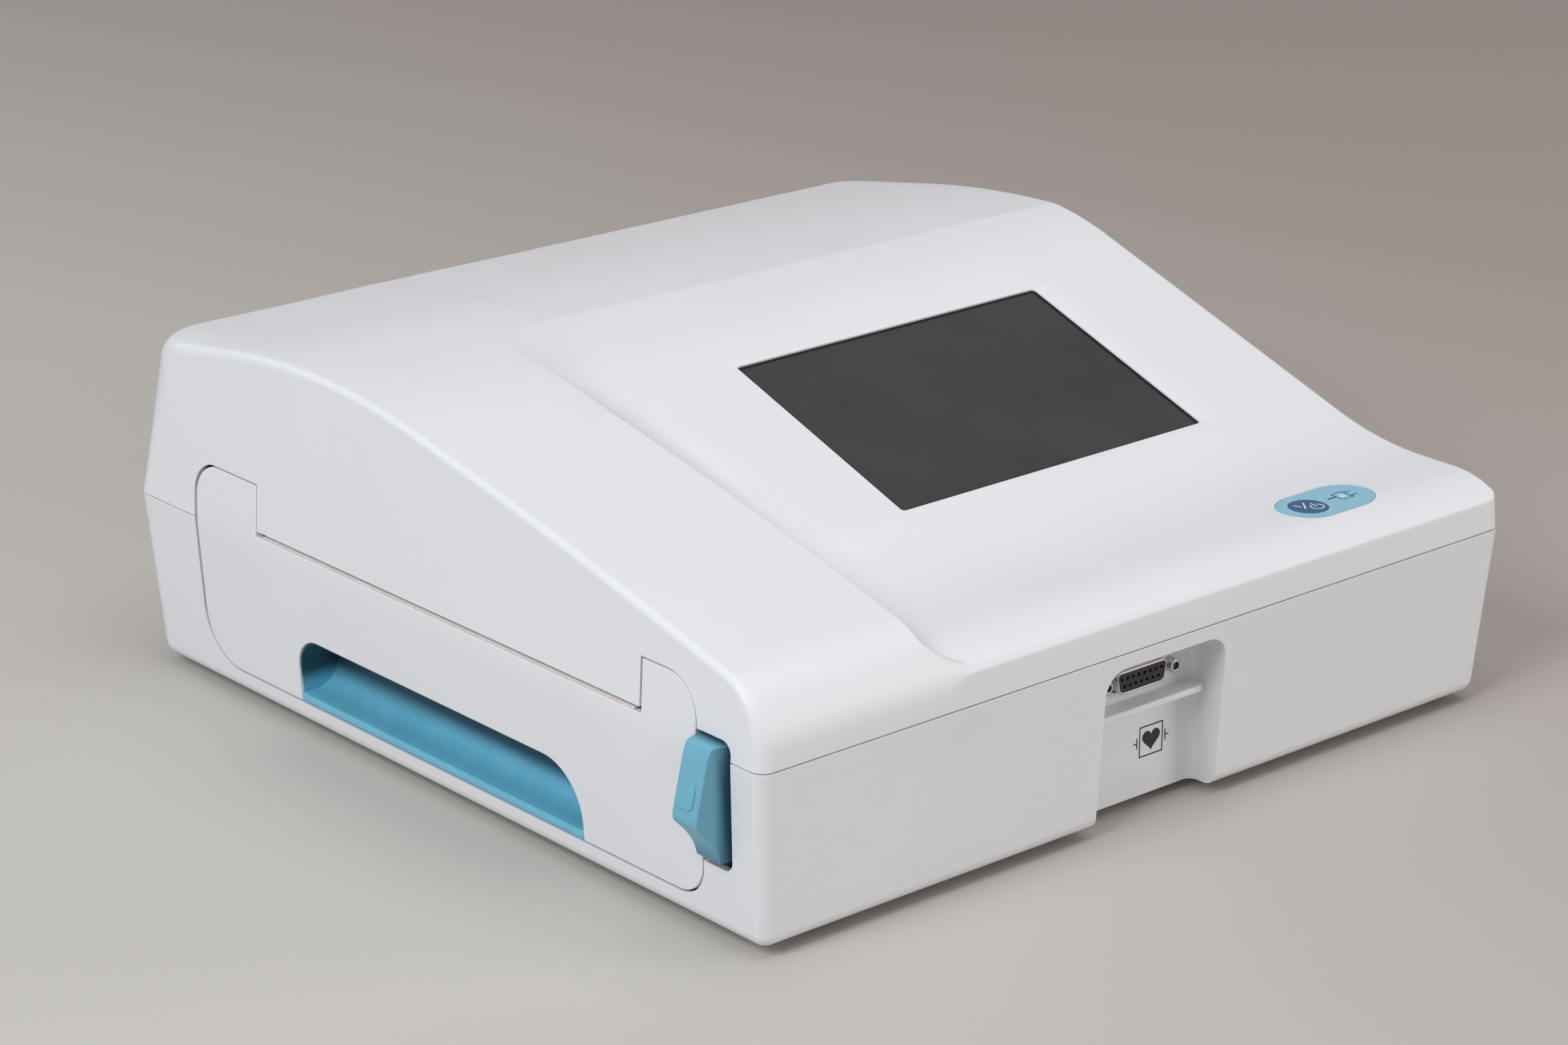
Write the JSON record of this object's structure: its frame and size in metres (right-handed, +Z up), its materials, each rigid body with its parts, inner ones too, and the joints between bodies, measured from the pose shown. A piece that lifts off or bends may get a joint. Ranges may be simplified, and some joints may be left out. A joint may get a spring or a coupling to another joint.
{
  "type": "ecg machine",
  "caption": "Desk electrocardiograph with a sloping screen, a power key, a patient-cable socket in a front bay and a side printer tray that unlatches by a lever and slides out.",
  "frame": {"origin": "on the table, under the middle of the recorder's outside box with its lever", "axes": "+X along the front from left to right, +Y from the front to the back, +Z up"},
  "size_m": [0.37, 0.366, 0.1439],
  "materials": {
    "white_shell": "fine satin texture",
    "blue_lever": "satin",
    "blue_scoop": "satin",
    "screen_glass": "dark, semi-matt",
    "display_metal": "folded sheet",
    "overlay_film": "printed film",
    "key_blue": "printed film over a key",
    "lamp_lens": "clear green",
    "board_green": "solder mask",
    "black_plastic": "moulded",
    "plated_steel": "plated",
    "heat_sink": "extruded",
    "grey_plastic": "moulded",
    "paper": "coated chart paper",
    "ceramic": "glazed",
    "gear_nylon": "moulded",
    "brass": "turned",
    "rubber": "matt",
    "battery_wrap": "shrink wrap"
  },
  "bodies": {
    "housing": {"bottom_case": "white_shell", "top_cover": "white_shell", "rear_panel": "white_shell", "display_glass": "screen_glass", "display_module": "display_metal", "display_bracket": "display_metal", "chassis": "display_metal", "printer_frame": "display_metal", "power_supply": "display_metal", "power_overlay": "overlay_film", "mains_lamp": "lamp_lens", "key_board": "board_green", "main_board": "board_green", "key_switch": "black_plastic", "mains_inlet": "black_plastic", "socket_insert": "black_plastic", "stepper_motor": "black_plastic", "speaker": "black_plastic", "socket_shell": "plated_steel", "jack_screws": "plated_steel", "case_screws": "plated_steel", "battery_door_screws": "plated_steel", "idler_shaft": "plated_steel", "lever_pin": "plated_steel", "latch_leaf": "plated_steel", "tear_bar": "plated_steel", "usb_ports": "plated_steel", "network_port": "plated_steel", "head_heatsink": "heat_sink", "tray_rails": "grey_plastic", "lever_bracket": "grey_plastic", "battery_door": "grey_plastic", "print_head": "ceramic", "inlet_blades": "brass", "ground_post": "brass", "board_standoffs": "brass", "feet": "rubber", "battery_pack": "battery_wrap"},
    "tray": {"door_panel": "white_shell", "finger_scoop": "blue_scoop", "tray_carrier": "grey_plastic", "door_screws": "plated_steel", "paper_tray": "grey_plastic", "paper_stack": "paper", "paper_lead": "paper", "platen_bearings": "brass"},
    "platen": {"platen_shaft": "plated_steel", "platen_roller": "rubber", "platen_gear": "gear_nylon"},
    "idler": {"idler_gear": "gear_nylon"},
    "motor_rotor": {"motor_pinion": "plated_steel"},
    "lever": {"latch_lever": "blue_lever"},
    "key": {"power_key": "key_blue"}
  },
  "joints": [
    {"name": "tray_slide", "type": "slide", "parent": "housing", "child": "tray", "axis": [-1, 0, 0], "range_m": [0, 0.2], "deforming": ["latch_leaf"]},
    {"name": "latch_lever_pivot", "type": "hinge", "parent": "housing", "child": "lever", "pos_m": [-0.1725, -0.15915, 0.071], "axis": [0, 1, 0], "range_deg": [0, 20], "stiffness_Nm_per_rad": 0.12, "springref_deg": -11.46, "deforming": ["latch_leaf"]},
    {"name": "power_button_press", "type": "slide", "parent": "housing", "child": "key", "axis": [0, 0, -1], "range_m": [0, 0.0008], "stiffness_N_per_m": 800, "springref_m": -0.0005},
    {"name": "platen_spin", "type": "hinge", "parent": "tray", "child": "platen", "pos_m": [-0.1605, -0.0095, 0.0655], "axis": [0, 1, 0], "continuous": true},
    {"name": "idler_spin", "type": "hinge", "parent": "housing", "child": "idler", "pos_m": [-0.1395, 0.115, 0.0655], "axis": [0, 1, 0], "continuous": true},
    {"name": "motor_spin", "type": "hinge", "parent": "housing", "child": "motor_rotor", "pos_m": [-0.12287, 0.106, 0.07239], "axis": [0, 1, 0], "continuous": true}
  ],
  "couplings": [
    {"joint": "idler_spin", "follows": "platen_spin", "ratio": -0.75},
    {"joint": "motor_spin", "follows": "platen_spin", "ratio": 1.5}
  ]
}
